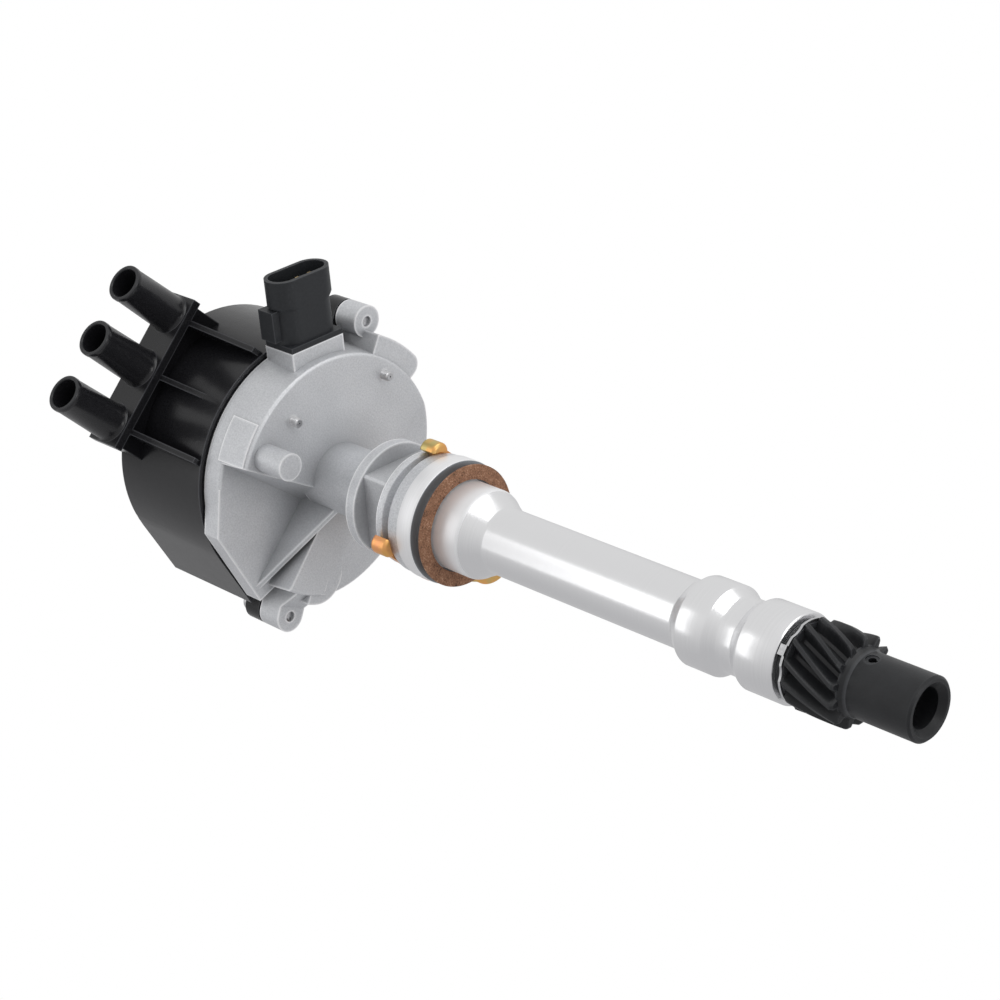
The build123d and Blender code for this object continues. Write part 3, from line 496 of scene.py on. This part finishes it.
# Painted highlight: the tooth edges are painted a lighter grey, where they would catch the
# light.
tree.links.new(painted_edge_highlight(tree, surface_colour, (0.055, 0.057, 0.062), 0.0007, 1.3),
               shader.inputs["Base Color"])
tree.links.new(arithmetic(tree, "ADD", arithmetic(tree, "MULTIPLY", cloud, 0.25), 0.30),
               shader.inputs["Roughness"])
roughen(tree, shader, arithmetic(tree, "ADD", cloud, fine), 0.10, 0.0003)

gear_top = -164.2
gear_face = 20.5
gear_bottom = gear_top - gear_face
gear_teeth = 13
gear_twist = 38.0
tooth_profile = [
    (-0.50, 11.5), (-0.38, 11.55), (-0.29, 12.2), (-0.22, 13.3), (-0.165, 14.6),
    (-0.125, 15.4), (-0.085, 15.75), (0.085, 15.75), (0.125, 15.4), (0.165, 14.6),
    (0.22, 13.3), (0.29, 12.2), (0.38, 11.55),
]
bpy.ops.mesh.primitive_circle_add(vertices=gear_teeth * len(tooth_profile), radius=0.012,
                                  fill_type="NGON", location=(0, 0, gear_bottom / 1000))
gear = bpy.context.object
gear.name = "gear_teeth"
bpy.ops.object.transform_apply(location=True, rotation=True, scale=True)
pitch = 2 * math.pi / gear_teeth
for count, corner in enumerate(gear.data.vertices):
    tooth, step = divmod(count, len(tooth_profile))
    share, radius = tooth_profile[step]
    angle = (tooth + share) * pitch
    corner.co.x = radius * math.cos(angle) / 1000
    corner.co.y = radius * math.sin(angle) / 1000
edit(gear)
chamfer = 0.9
chamfer_shrink = 1 - 0.055
twist_steps = 16
bpy.ops.transform.resize(value=(chamfer_shrink, chamfer_shrink, 1), center_override=(0, 0, 0))
rises = [chamfer] + [(gear_face - 2 * chamfer) / twist_steps] * twist_steps + [chamfer]
for count, rise in enumerate(rises):
    bpy.ops.mesh.extrude_region_move(TRANSFORM_OT_translate={"value": (0, 0, rise / 1000)})
    lead = -math.radians(gear_twist) * rise / gear_face
    bpy.ops.transform.rotate(value=lead, orient_axis="Z", center_override=(0, 0, 0))
    if count == 0:
        grow = 1 / chamfer_shrink
        bpy.ops.transform.resize(value=(grow, grow, 1), center_override=(0, 0, 0))
    if count == len(rises) - 1:
        bpy.ops.transform.resize(value=(chamfer_shrink, chamfer_shrink, 1),
                                 center_override=(0, 0, 0))
close_edit(38)
gear.data.materials.append(oxide)
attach(gear, "shaft_body")
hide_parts("drive_gear")

hub = copy_of_solid("drive_gear", "gear_hub")
hub_gap = 0.02
cut_away(hub, (0, 0, (gear_bottom - hub_gap) / 1000), (0, 0, 1))
soften(hub, 0.0004)
hub.data.materials.append(oxide)
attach(hub, "shaft_body")
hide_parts("drive_gear")

root = lathe("gear_root_fillet", [
    (10.9, -183.9), (10.9, -187.1), (11.22, -187.1), (11.3, -186.7), (11.5, -186.0),
    (11.85, -185.2), (12.3, -184.5), (12.4, -183.9), (10.9, -183.9),
])
root.data.materials.append(oxide)
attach(root, "shaft_body")

# The two screws that hold the sensor come out under the bowl as short threaded ends.
# They have the same bright steel finish as the shaft, and each thread is turned on its own.
steel, tree, shader = start_finish("ground_steel", (0.62, 0.62, 0.63), 1.0, 0.28)
point = place_on_part(tree)
fine = speckle(tree, point, 900, 3)
tree.links.new(colours(tree, fine, [(0.3, (0.52, 0.52, 0.53)), (0.7, (0.70, 0.70, 0.71))]),
               shader.inputs["Base Color"])
roughen(tree, shader, fine, 0.08, 0.0002)

shanks = copy_of_solid("sensor_screws", "sensor_screw_heads")
thread_start = 0.0652
cut_away(shanks, (0, 0, thread_start), (0, 0, -1))
soften(shanks, 0.0001)
shanks.data.materials.append(steel)
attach(shanks, "housing_body")
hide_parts("sensor_screws")

screw_places = [(0.0354, 0.0074), (0.0049, 0.0420)]
bowl_floor = 0.0650
thread = [(0.3, -3.9), (1.35, -3.9)]
for count in range(5):
    level = -3.55 + 0.75 * count
    thread += [(1.45, level), (1.95, level + 0.33), (1.95, level + 0.42), (1.45, level + 0.72)]
thread += [(1.45, 0.4), (0.3, 0.4), (0.3, -3.9)]
for number, place in enumerate(screw_places, 1):
    stud = lathe(f"sensor_screw_thread_{number}", thread, segments=32)
    stud.location = (*place, bowl_floor)
    bpy.ops.object.transform_apply(location=True, rotation=True, scale=True)
    stud.data.materials.append(steel)
    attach(stud, "housing_body")

# The other pieces keep their own solids: ground steel shaft and shutter wheel, bright washers
# with tangs, sintered bushes, zinc-plated screws, and the moulded rotor inside the cap.
bronze, tree, shader = start_finish("sintered_bronze", (0.48, 0.31, 0.14), 0.9, 0.45)
point = place_on_part(tree)
pores = speckle(tree, point, 2500, 4)
tree.links.new(colours(tree, pores, [(0.35, (0.22, 0.13, 0.06)), (0.6, (0.52, 0.34, 0.16))]),
               shader.inputs["Base Color"])
roughen(tree, shader, pores, 0.2, 0.0002)

brass, tree, shader = start_finish("contact_brass", (0.74, 0.56, 0.26), 1.0, 0.25)
tarnish = speckle(tree, place_on_part(tree), 700, 3)
tree.links.new(colours(tree, tarnish, [(0.3, (0.64, 0.46, 0.20)), (0.7, (0.80, 0.62, 0.32))]),
               shader.inputs["Base Color"])

rubber, tree, shader = start_finish("seal_rubber", (0.012, 0.012, 0.012), 0.0, 0.7)
bloom = speckle(tree, place_on_part(tree), 1500, 2)
tree.links.new(colours(tree, bloom, [(0.3, (0.008, 0.008, 0.008)), (0.7, (0.02, 0.02, 0.02))]),
               shader.inputs["Base Color"])

kept = {
    "upper_bush": bronze, "lower_bush": bronze, "shaft_seal": rubber, "cap_seal": rubber,
    "plug_terminals": steel, "coil_terminal": steel, "carbon_button": rubber,
    "cap_screws": steel, "cam_sensor": matte, "connector_terminals": brass, "shaft": steel,
    "shutter_wheel": steel, "rotor": matte, "rotor_blade": brass, "contact_spring": steel,
    "rotor_screws": steel, "roll_pin": oxide, "lower_washer": oxide, "tanged_washer": steel,
    "thrust_shim": oxide,
}
for node, finish in kept.items():
    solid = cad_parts[node]
    solid.data.materials.clear()
    solid.data.materials.append(finish)
    bpy.ops.object.select_all(action="DESELECT")
    solid.select_set(True)
    bpy.context.view_layer.objects.active = solid
    bpy.ops.object.shade_smooth_by_angle(angle=math.radians(35))

bpy.ops.object.select_all(action="DESELECT")
